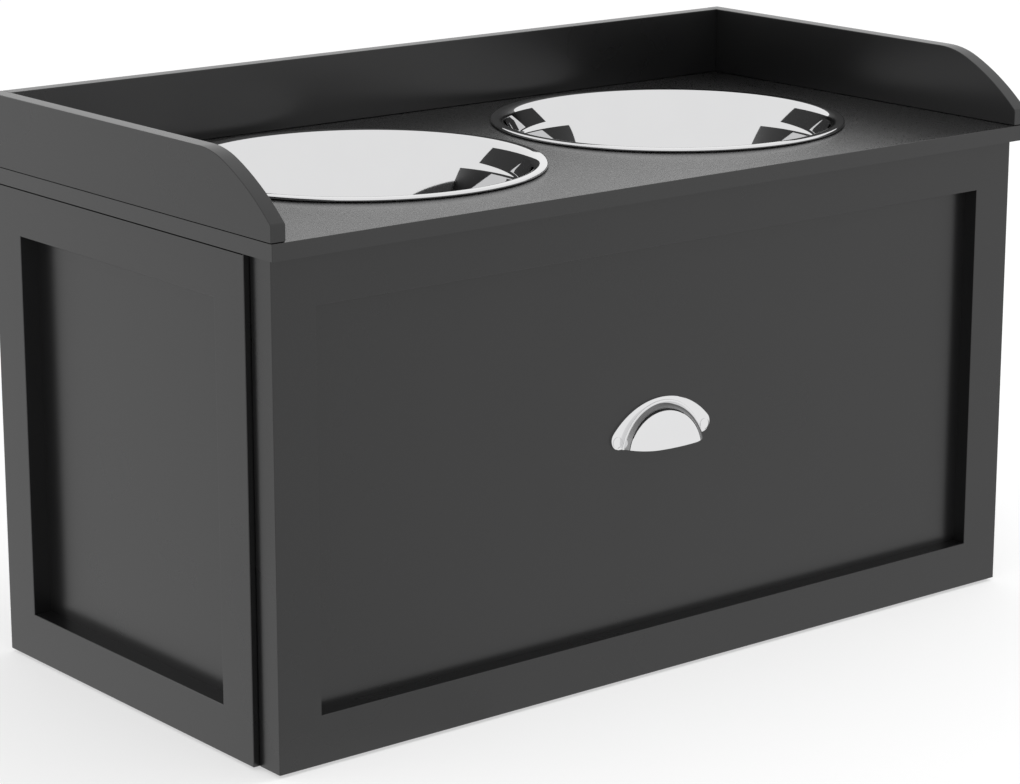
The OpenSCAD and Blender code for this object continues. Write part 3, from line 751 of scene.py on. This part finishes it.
@dataclass
class PaintedBoard:
    """A plain board with its arrises eased and painted."""

    node: str
    body: str
    finish: Finish = PAINT
    arris: float = ARRIS
    joint: float = 0.0
    joint_reach: float = 1.0 * MM

    def is_corner(self, edge: bmesh.types.BMEdge, box: Box) -> bool:
        """Tells whether an edge is a sharp one that isn't round the board's underside."""
        return is_square(edge) and any(vert.co.z > box.lo.z + NEAR for vert in edge.verts)

    def on_arris(self, edge: bmesh.types.BMEdge, box: Box) -> bool:
        """Tells whether an edge is one of the board's outer arrises, on two faces of its box."""
        planes = [lies_on(edge, k, plane) for k in range(3) for plane in (box.lo[k], box.hi[k])]
        return self.is_corner(edge, box) and sum(planes) >= 2

    def build(self) -> bpy.types.Object:
        """Builds the board.

        Returns:
            The board's object.
        """
        mesh = welded_copy(self.node)
        box = Box.of(self.node)
        round_edges(mesh, [e for e in mesh.edges if self.on_arris(e, box)], self.arris)
        if self.joint:
            draw_back(mesh, box.lo.z, self.joint, self.joint_reach)
        return Piece(self.node + "_painted", self.body, (self.node,), (self.finish,), mesh).close()


@dataclass
class GalleryEnd(PaintedBoard):
    """A side board of the gallery, whose top sweeps down to a rounded nose."""

    def on_arris(self, edge: bmesh.types.BMEdge, box: Box) -> bool:
        """Tells whether an edge runs round one of the board's two broad faces."""
        return self.is_corner(edge, box) and any(lies_on(edge, 0, plane) for plane in (box.lo.x, box.hi.x))


@dataclass
class TopBoard(PaintedBoard):
    """The top board: grained on top, smooth round its edges, and cut out for the two bowls."""

    # The glossier edge paint, which makes the edges read lighter in place of the shade under the overhang.
    lighter_edge_finish: Finish = LIGHTER_EDGE_PAINT
    cut_least: float = 90 * MM
    cut_most: float = 117 * MM

    def build(self) -> bpy.types.Object:
        """Builds the board with rounded cut-outs.

        Returns:
            The board's object.
        """
        mesh = welded_copy(self.node)
        box = Box.of(self.node)
        bowls = [Box.of(name).middle for name in ("bowl_left", "bowl_right")]

        def on_cut(edge: bmesh.types.BMEdge) -> bool:
            """Tells whether an edge runs round the top of a cut-out."""
            middle = (edge.verts[0].co + edge.verts[1].co) / 2
            if not is_square(edge) or abs(middle.z - box.hi.z) > NEAR:
                return False
            return any(self.cut_least < (middle - centre).xy.length < self.cut_most for centre in bowls)

        rounded = [e for e in mesh.edges if self.on_arris(e, box) or on_cut(e)]
        round_edges(mesh, rounded, self.arris)
        # The top face takes the grained paint; the edges, cut-outs and underside take the glossier copy that
        # stands in for the shade under the overhang.
        for face in mesh.faces:
            face.material_index = 0 if face.normal.z > LEVEL else 1
        finishes = (self.finish, self.lighter_edge_finish)
        return Piece(self.node + "_painted", self.body, (self.node,), finishes, mesh).close()


@dataclass
class ShakerFrame:
    """A framed panel that is painted as one: two stiles, two rails and a sunk panel."""

    name: str
    body: str
    nodes: tuple[str, ...]
    rail: str
    panel: str
    outward: Vector
    finish: Finish = PAINT
    arris: float = ARRIS
    rebate: Pair | None = None
    joint: float = 0.0
    joint_reach: float = 2.5 * MM

    def footprint(self, box: Box) -> list[Pair]:
        """Gives the frame's outline seen from above.

        Args:
            box: The frame's box.

        Returns:
            The outline's corners, with the rear rebate where there is one.
        """
        lo, hi = box.lo, box.hi
        if self.rebate is None:
            return [(lo.x, lo.y), (hi.x, lo.y), (hi.x, hi.y), (lo.x, hi.y)]
        side = 1.0 if self.outward.x > 0 else -1.0
        inner, outer = (lo.x, hi.x) if side > 0 else (hi.x, lo.x)
        step_x, step_y = inner + side * self.rebate[0], self.rebate[1]
        return [(inner, lo.y), (outer, lo.y), (outer, hi.y), (step_x, hi.y), (step_x, step_y), (inner, step_y)]

    def build(self) -> bpy.types.Object:
        """Builds the framed panel.

        Returns:
            Its object.
        """
        box, panel, rail = Box.of(*self.nodes), Box.of(self.panel), Box.of(self.rail)
        axis = Axis.X if abs(self.outward.x) > 0.5 else Axis.Y
        across = Axis.Y if axis is Axis.X else Axis.X
        width = rail.lo[across.value] - box.lo[across.value]
        face = max(self.outward.dot(box.lo), self.outward.dot(box.hi))
        sunk = face - max(self.outward.dot(panel.lo), self.outward.dot(panel.hi))
        mesh = bmesh.new()
        floor = mesh.faces.new([mesh.verts.new((x, y, box.lo.z)) for x, y in self.footprint(box)])
        raised = bmesh.ops.extrude_face_region(mesh, geom=[floor])["geom"]
        top = [v for v in raised if isinstance(v, bmesh.types.BMVert)]
        bmesh.ops.translate(mesh, verts=top, vec=(0, 0, box.size.z))
        bmesh.ops.recalc_face_normals(mesh, faces=mesh.faces)
        facing = [f for f in mesh.faces if f.normal.dot(self.outward) > LEVEL]
        front = max(facing, key=lambda f: f.calc_center_median().dot(self.outward))
        bmesh.ops.inset_region(mesh, faces=[front], thickness=width, use_even_offset=True)
        pushed = bmesh.ops.extrude_discrete_faces(mesh, faces=[front])["faces"][0]
        bmesh.ops.translate(mesh, verts=list(pushed.verts), vec=-self.outward * sunk)
        corners = [e for e in mesh.edges if is_square(e) and e.is_convex]
        if self.joint:
            corners = [e for e in corners if not lies_on(e, 2, box.hi.z)]
        round_edges(mesh, corners, self.arris)
        if self.joint:
            draw_back(mesh, box.hi.z, self.joint, self.joint_reach)
        return Piece(self.name, self.body, self.nodes, (self.finish,), mesh).close()


@dataclass
class Bowl:
    """A pressed steel bowl with a rolled bead round its rim and a pressed ring in its wall."""

    node: str
    bead: float = 1.2 * MM
    sheet: float = 0.8 * MM
    lip: float = 3.2 * MM
    shoulder: float = 6.0 * MM
    upper_lean: float = 20.0
    ring_drop: float = 14.5 * MM
    ring_radius: float = 5.5 * MM
    ring_lean: float = 45.0
    lean: float = 15.5
    corner: float = 31.0 * MM
    dish: float = 1.2 * MM
    dish_radius: float = 34.0 * MM
    dish_round: float = 6.0 * MM
    steps: int = 192
    wall_steps: int = 14
    dish_steps: int = 6
    corner_steps: int = 32
    crease: float = 50.0

    def inside(self, box: Box) -> Outline:
        """Draws the bowl's inner face in section, from the rim down to the axis.

        Args:
            box: The bowl's box.

        Returns:
            The outline, as distance from the axis and height.
        """
        upper, ring, lean = (math.radians(angle) for angle in (self.upper_lean, self.ring_lean, self.lean))
        shoulder = (box.size.x / 2 - self.bead - self.lip, box.hi.z - self.shoulder)
        line = Outline().arc(shoulder, self.shoulder, 90, 180 - self.upper_lean, self.wall_steps)
        out, up = line.points[-1]
        fall = up - (box.hi.z - self.ring_drop)
        out, up = out - fall * math.tan(upper), up - fall
        hollow = (out - self.ring_radius * math.cos(upper), up + self.ring_radius * math.sin(upper))
        line.arc(hollow, self.ring_radius, -self.upper_lean, -self.ring_lean, self.wall_steps)
        apart = 2 * self.ring_radius
        swell = (hollow[0] + apart * math.cos(ring), hollow[1] - apart * math.sin(ring))
        line.arc(swell, self.ring_radius, 180 - self.ring_lean, 180 - self.lean, self.wall_steps)
        out, up = line.points[-1]
        radius = self.corner - self.sheet
        corner_z = box.lo.z + self.corner
        fall = up - (corner_z - radius * math.sin(lean))
        corner = (out - fall * math.tan(lean) - radius * math.cos(lean), corner_z)
        line.arc(corner, radius, -self.lean, -90, self.corner_steps)
        floor, curl = box.lo.z + self.sheet, self.dish_round
        turn = math.acos(1 - self.dish / (2 * curl))
        foot = self.dish_radius + curl * math.sin(turn)
        line.arc((foot, floor + curl), curl, 270, 270 - math.degrees(turn), self.dish_steps)
        crest = (foot - 2 * curl * math.sin(turn), floor + self.dish - curl)
        line.arc(crest, curl, 90 - math.degrees(turn), 90, self.dish_steps)
        return line.to(0, floor + self.dish)

    def section(self, box: Box) -> Outline:
        """Draws half of the bowl's section, out along the underside and back along the inside.

        Args:
            box: The bowl's box.

        Returns:
            The outline, as distance from the axis and height.
        """
        points = self.inside(box).points
        under = Outline()
        pairs = zip(points, points[1:])
        chain = points[:1] + [point for before, point in pairs if math.dist(before, point) > WELD]
        for k, (out, up) in enumerate(chain):
            before, after = chain[max(k - 1, 0)], chain[min(k + 1, len(chain) - 1)]
            along = Vector((after[0] - before[0], after[1] - before[1])).normalized()
            under.to(out - along.y * self.sheet, up + along.x * self.sheet)
        under.points[-1] = (0, under.points[-1][1])
        under.points.reverse()
        bead = (box.size.x / 2 - self.bead, box.hi.z - self.bead)
        start = 180 - math.degrees(math.asin(1 - self.sheet / self.bead))
        under.arc(bead, self.bead, start, 450, self.corner_steps)
        under.points += chain
        return under

    def build(self) -> bpy.types.Object:
        """Builds the bowl, polished inside and satin below.

        Returns:
            Its object.
        """
        box = Box.of(self.node)
        middle = box.middle
        mesh = spun(
            self.section(box),
            lambda across, up: Vector((middle.x + across, middle.y, up)),
            Vector((middle.x, middle.y, 0)),
            Axis.Z.vector(),
            self.steps,
        )
        brim = box.size.x / 2 - 2 * self.bead
        for face in mesh.faces:
            centre = face.calc_center_median() - middle
            outwards = face.normal.xy.dot(centre.xy) > 0 or face.normal.z < -0.5
            face.material_index = 1 if outwards and centre.xy.length < brim else 0
        finishes = (BOWL_MIRROR, BOWL_SATIN)
        return Piece(self.node + "_steel", self.node, (self.node,), finishes, mesh, self.crease).close()


@dataclass
class CupPull:
    """The chromed cup pull: a crescent flange, a thin step and the round cup."""

    nodes: tuple[str, ...] = ("cup_pull",)
    top: float = 23.3 * MM
    crown: float = 22.7 * MM
    half: float = 40.1 * MM
    arc: float = 50.9 * MM
    end: float = 6.5 * MM
    foot: float = 5.1 * MM
    flange: float = 1.5 * MM
    base: float = 31.5 * MM
    drop: float = 11.4 * MM
    lip_drop: float = 5.0 * MM
    front: float = 101.0 * MM
    corner: float = 19.5 * MM
    corner_back: float = 1.9 * MM
    slant: float = 21.0
    wall: float = 1.6 * MM
    step: float = 32.6 * MM
    step_height: float = 2.3 * MM
    step_round: float = 0.6 * MM
    behind: float = 1.0 * MM
    front_steps: int = 24
    corner_steps: int = 64
    ease_steps: int = 4
    tip_steps: int = 24
    arc_steps: int = 96
    turn_steps: int = 240
    crease: float = 28.0

    def __post_init__(self) -> None:
        """Works out the pull's place and how its arcs meet."""
        box = Box.of(*self.nodes)
        self.panel_y = box.hi.y
        self.line_z = box.hi.z - self.top
        self.lip_z = self.line_z - self.lip_drop
        self.foot_z = self.line_z - self.foot
        self.axis_point = Vector((0, self.panel_y, self.line_z - self.drop))
        self.corner_x = self.base - math.sqrt(self.corner**2 - self.corner_back**2)
        blend = self.front - self.corner
        self.reach = self.front - self.corner_back - math.sqrt(blend**2 - self.corner_x**2)
        self.blend_tilt = math.degrees(math.asin(self.corner_x / blend))

    def turned(self, section: Outline) -> bmesh.types.BMesh:
        """Turns a section about the cup's axis, which is square to the drawer's panel.

        Args:
            section: The section, as distance from the axis and from the panel.

        Returns:
            The closed solid.
        """
        centre = self.axis_point
        return spun(
            section,
            lambda out, ahead: centre + Vector((out, -ahead, 0)),
            centre,
            Axis.Y.vector(),
            self.turn_steps,
        )

    def form(self, grow: float) -> bmesh.types.BMesh:
        """Makes the cup's whole turned form: a shallow front, a round corner and a slanted wall.

        Args:
            grow: How far outside the cup's skin it lies.

        Returns:
            The closed form, which starts a little behind the panel.
        """
        join = 90 - self.blend_tilt
        slant = math.radians(self.slant)
        corner = (self.corner_x, -self.corner_back)
        section = Outline()
        section.arc((0, self.reach - self.front), self.front + grow, 90, join, self.front_steps)
        section.arc(corner, self.corner + grow, join, self.slant, self.corner_steps)
        out, ahead = section.points[-1]
        section.to(out + (ahead + self.behind) * math.tan(slant), -self.behind)
        section.to(0, -self.behind)
        return self.turned(section)

    def trimmed(self, mesh: bmesh.types.BMesh, foot: float) -> bmesh.types.BMesh:
        """Cuts a turned form to what stands before the panel.

        Args:
            mesh: The form.
            foot: The height at which it ends below.

        Returns:
            The closed solid.
        """
        cut_flat(mesh, Vector((0, self.panel_y, 0)), Axis.Y.vector())
        cut_flat(mesh, Vector((0, 0, foot)), -Axis.Z.vector())
        return mesh

    def raised_step(self) -> bmesh.types.BMesh:
        """Makes the thin round step between the flange and the cup.

        Returns:
            The closed solid.
        """
        section = Outline().to(0, self.step_height)
        corner = (self.step - self.step_round, self.step_height - self.step_round)
        section.arc(corner, self.step_round, 90, 0, self.ease_steps)
        section.to(self.step, -self.behind).to(0, -self.behind)
        return self.trimmed(self.turned(section), self.foot_z)

    def flange_solid(self) -> bmesh.types.BMesh:
        """Makes the crescent flange with an eased rim.

        Returns:
            The closed solid.
        """
        arc_z = self.line_z + self.crown - self.arc
        end = (self.half - self.end, self.foot_z + self.end)
        tilt = math.degrees(math.atan2(end[1] - arc_z, end[0]))
        arc_radius = math.hypot(end[0], end[1] - arc_z) + self.end
        outline = Outline().arc(end, self.end, -90, tilt, self.tip_steps)
        outline.arc((0, arc_z), arc_radius, tilt, 180 - tilt, self.arc_steps)
        outline.arc((-end[0], end[1]), self.end, 180 - tilt, 270, self.tip_steps)
        mesh = bmesh.new()
        outline.draw(mesh, lambda across, up: Vector((across, self.panel_y, up)))
        bmesh.ops.remove_doubles(mesh, verts=mesh.verts, dist=WELD)
        loose = [v for v in mesh.verts if len(v.link_edges) == 1]
        mesh.edges.new(loose)
        face = bmesh.ops.contextual_create(mesh, geom=list(mesh.edges))["faces"][0]
        pushed = bmesh.ops.extrude_face_region(mesh, geom=[face])["geom"]
        front = [v for v in pushed if isinstance(v, bmesh.types.BMVert)]
        bmesh.ops.translate(mesh, verts=front, vec=(0, -self.flange, 0))
        bmesh.ops.recalc_face_normals(mesh, faces=mesh.faces)
        rim = [e for e in mesh.edges if lies_on(e, 1, self.panel_y - self.flange)]
        round_edges(mesh, rim, ARRIS)
        return mesh

    def build(self) -> bpy.types.Object:
        """Builds the pull.

        Returns:
            Its object.
        """
        cup = self.trimmed(self.form(0.0), self.lip_z)
        mesh = combined(self.flange_solid(), self.raised_step(), "UNION")
        mesh = combined(mesh, cup, "UNION")
        mesh = combined(mesh, self.form(-self.wall), "DIFFERENCE")
        return Piece("cup_pull_chrome", DRAWER, self.nodes, (CHROME,), mesh, self.crease).close()


@dataclass
class PullScrews:
    """The two round-headed screws that show on the pull's flange."""

    node: str = "pull_screws"
    head: float = 3.5 * MM
    shank: float = 1.75 * MM
    height: float = 1.6 * MM
    edge: float = 0.45 * MM
    dome_steps: int = 16
    steps: int = 64
    crease: float = 40.0

    def build(self) -> bpy.types.Object:
        """Builds both screws.

        Returns:
            Their object.
        """
        box = Box.of(self.node)
        rise = self.height - self.edge
        dome = (self.head**2 + rise**2) / (2 * rise)
        span = math.degrees(math.asin(self.head / dome))
        outline = Outline().to(0, 0)
        seat = box.size.y - self.height
        outline.to(self.shank, 0).to(self.shank, seat).to(self.head, seat)
        outline.arc((0, box.size.y - dome), dome, 90 - span, 90, self.dome_steps)
        merged = bmesh.new()
        for side in (-1, 1):
            centre = Vector((side * (box.hi.x - self.head), box.hi.y, box.middle.z))
            screw = spun(
                outline,
                lambda out, up, c=centre: c + Vector((out, -up, 0)),
                centre,
                Axis.Y.vector(),
                self.steps,
            )
            data = baked("bench", screw)
            merged.from_mesh(data)
            bpy.data.meshes.remove(data)
        return Piece("pull_screws_chrome", DRAWER, (self.node,), (CHROME,), merged, self.crease).close()


@dataclass
class Studio:
    """The pale floor, the light and the camera."""

    azimuth: float = -38.871
    elevation: float = 14.61
    position: Triple = (-1.2972, -1.5934, 0.6873)
    lens: float = 116.06
    sensor: float = 36.0
    clip: Pair = (0.05, 100.0)
    tent: float = 1.0
    floor_size: float = 30.0
    floor_colour: Colour = (0.99, 0.99, 0.99)
    floor_mottle: float = 0.4
    floor_shade: float = 0.01
    floor_glow: float = 0.5
    key_direction: Triple = (0.607, -0.18, 0.774)
    key_distance: float = 3.0
    key_size: float = 0.95
    key_power: float = 22.0

    def light(self) -> None:
        """Lights the feeder with a white tent and one soft key lamp."""
        world = bpy.data.worlds.new("tent")
        world.use_nodes = True
        sheet = Sheet(world.node_tree)
        white = sheet.node("ShaderNodeBackground", {}, {"Color": (1, 1, 1, 1), "Strength": self.tent})
        sheet.raw("ShaderNodeOutputWorld", {}, {"Surface": white})
        bpy.context.scene.world = world
        lamp = bpy.data.lights.new("key", "AREA")
        lamp.shape = "DISK"
        lamp.size = self.key_size
        lamp.energy = self.key_power
        key = placed("key", lamp)
        towards = Vector(self.key_direction).normalized()
        target = Box.of("drawer_front_panel").middle
        key.location = target + towards * self.key_distance
        key.visible_glossy = False
        key.rotation_euler = towards.to_track_quat("Z", "Y").to_euler()

    def floor(self) -> None:
        """Lays the pale floor."""
        mesh = bmesh.new()
        bmesh.ops.create_grid(mesh, x_segments=1, y_segments=1, size=self.floor_size / 2)
        floor = placed("floor", baked("floor", mesh))
        material = bpy.data.materials.new("floor")
        material.use_nodes = True
        sheet = Sheet(material.node_tree)
        mottle = sheet.noise(self.floor_mottle)
        darker = [c * (1 - self.floor_shade) for c in self.floor_colour]
        shade = sheet.blend(mottle, self.floor_colour, darker)
        matt = sheet.node("ShaderNodeBsdfDiffuse", {}, {"Color": shade})
        white = sheet.node("ShaderNodeEmission", {}, {"Color": (1, 1, 1, 1), "Strength": self.tent})
        ray = sheet.raw("ShaderNodeLightPath", {}, {}).outputs
        mirrored = Wire(sheet, ray["Is Glossy Ray"]) + Wire(sheet, ray["Is Transmission Ray"])
        shown = Wire(sheet, ray["Is Camera Ray"]) * self.floor_glow
        seen = sheet.node("ShaderNodeMixShader", {}, {0: mirrored + shown, 1: matt, 2: white})
        sheet.raw("ShaderNodeOutputMaterial", {}, {"Surface": seen})
        floor.data.materials.append(material)

    def camera(self) -> None:
        """Sets the camera at the photograph's viewing angle."""
        lens = bpy.data.cameras.new("camera")
        lens.lens = self.lens
        lens.sensor_width = self.sensor
        lens.clip_start, lens.clip_end = self.clip
        camera = placed("camera", lens)
        across, above = math.radians(self.azimuth), math.radians(self.elevation)
        level = math.cos(above)
        back = Vector((math.sin(across) * level, -math.cos(across) * level, math.sin(above)))
        camera.location = Vector(self.position)
        camera.rotation_euler = back.to_track_quat("Z", "Y").to_euler()
        bpy.context.scene.camera = camera

    def build(self) -> None:
        """Builds the whole studio."""
        self.light()
        self.floor()
        self.camera()
        bpy.context.scene.view_settings.view_transform = "Standard"


def side_frame(side: str) -> ShakerFrame:
    """Names the pieces of one framed side of the carcass.

    Args:
        side: left or right.

    Returns:
        The framed side.
    """
    parts = ("side_panel", "front_stile", "rear_stile", "top_rail", "bottom_rail")
    nodes = tuple(f"{side}_{part}" for part in parts)
    back, rail = Box.of("back_panel"), Box.of(nodes[3])
    inner = min(abs(rail.lo.x), abs(rail.hi.x))
    return ShakerFrame(
        name=f"{side}_side_painted",
        body=CABINET,
        nodes=nodes,
        rail=nodes[3],
        panel=nodes[0],
        outward=Axis.X.vector() * (1 if side == "right" else -1),
        rebate=(back.hi.x - inner, back.lo.y),
        joint=SIDE_JOINT,
    )


def drawer_front() -> ShakerFrame:
    """Names the pieces of the drawer's framed front.

    Returns:
        The framed front.
    """
    parts = ("panel", "left_stile", "right_stile", "top_rail", "bottom_rail")
    nodes = tuple(f"drawer_front_{part}" for part in parts)
    return ShakerFrame("drawer_front_painted", DRAWER, nodes, nodes[3], nodes[0], -Axis.Y.vector())


def dress_nodes() -> None:
    """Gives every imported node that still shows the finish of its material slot."""
    slots = {part["node"]: part["material_slot"] for part in frame["record"]["subparts"]}
    for node, thing in frame["nodes"].items():
        material = SLOT_FINISH[slots[node]].material()
        if not thing.material_slots:
            thing.data.materials.append(material)
        for slot in thing.material_slots:
            slot.material = material
    log.info("dressed %d nodes", len(slots))


def main() -> None:
    """Builds the feeder's finished pieces in order, then the studio."""
    logging.basicConfig(level=logging.INFO, format="%(name)s: %(message)s")
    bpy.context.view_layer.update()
    Studio().build()
    dress_nodes()
    side_frame("left").build()
    side_frame("right").build()
    drawer_front().build()
    TopBoard("top_board", CABINET, TOP_PAINT).build()
    for node in ("gallery_left", "gallery_right"):
        GalleryEnd(node, CABINET, joint=GALLERY_JOINT).build()
    PaintedBoard("gallery_back", CABINET, joint=GALLERY_JOINT).build()
    for node in ("bottom_panel", "front_stretcher", "rear_stretcher"):
        PaintedBoard(node, CABINET).build()
    for node in ("drawer_side_left", "drawer_side_right", "drawer_box_front", "drawer_box_back"):
        PaintedBoard(node, DRAWER).build()
    for node in ("bowl_left", "bowl_right"):
        Bowl(node).build()
    CupPull().build()
    PullScrews().build()


if __name__ == "__main__":
    main()
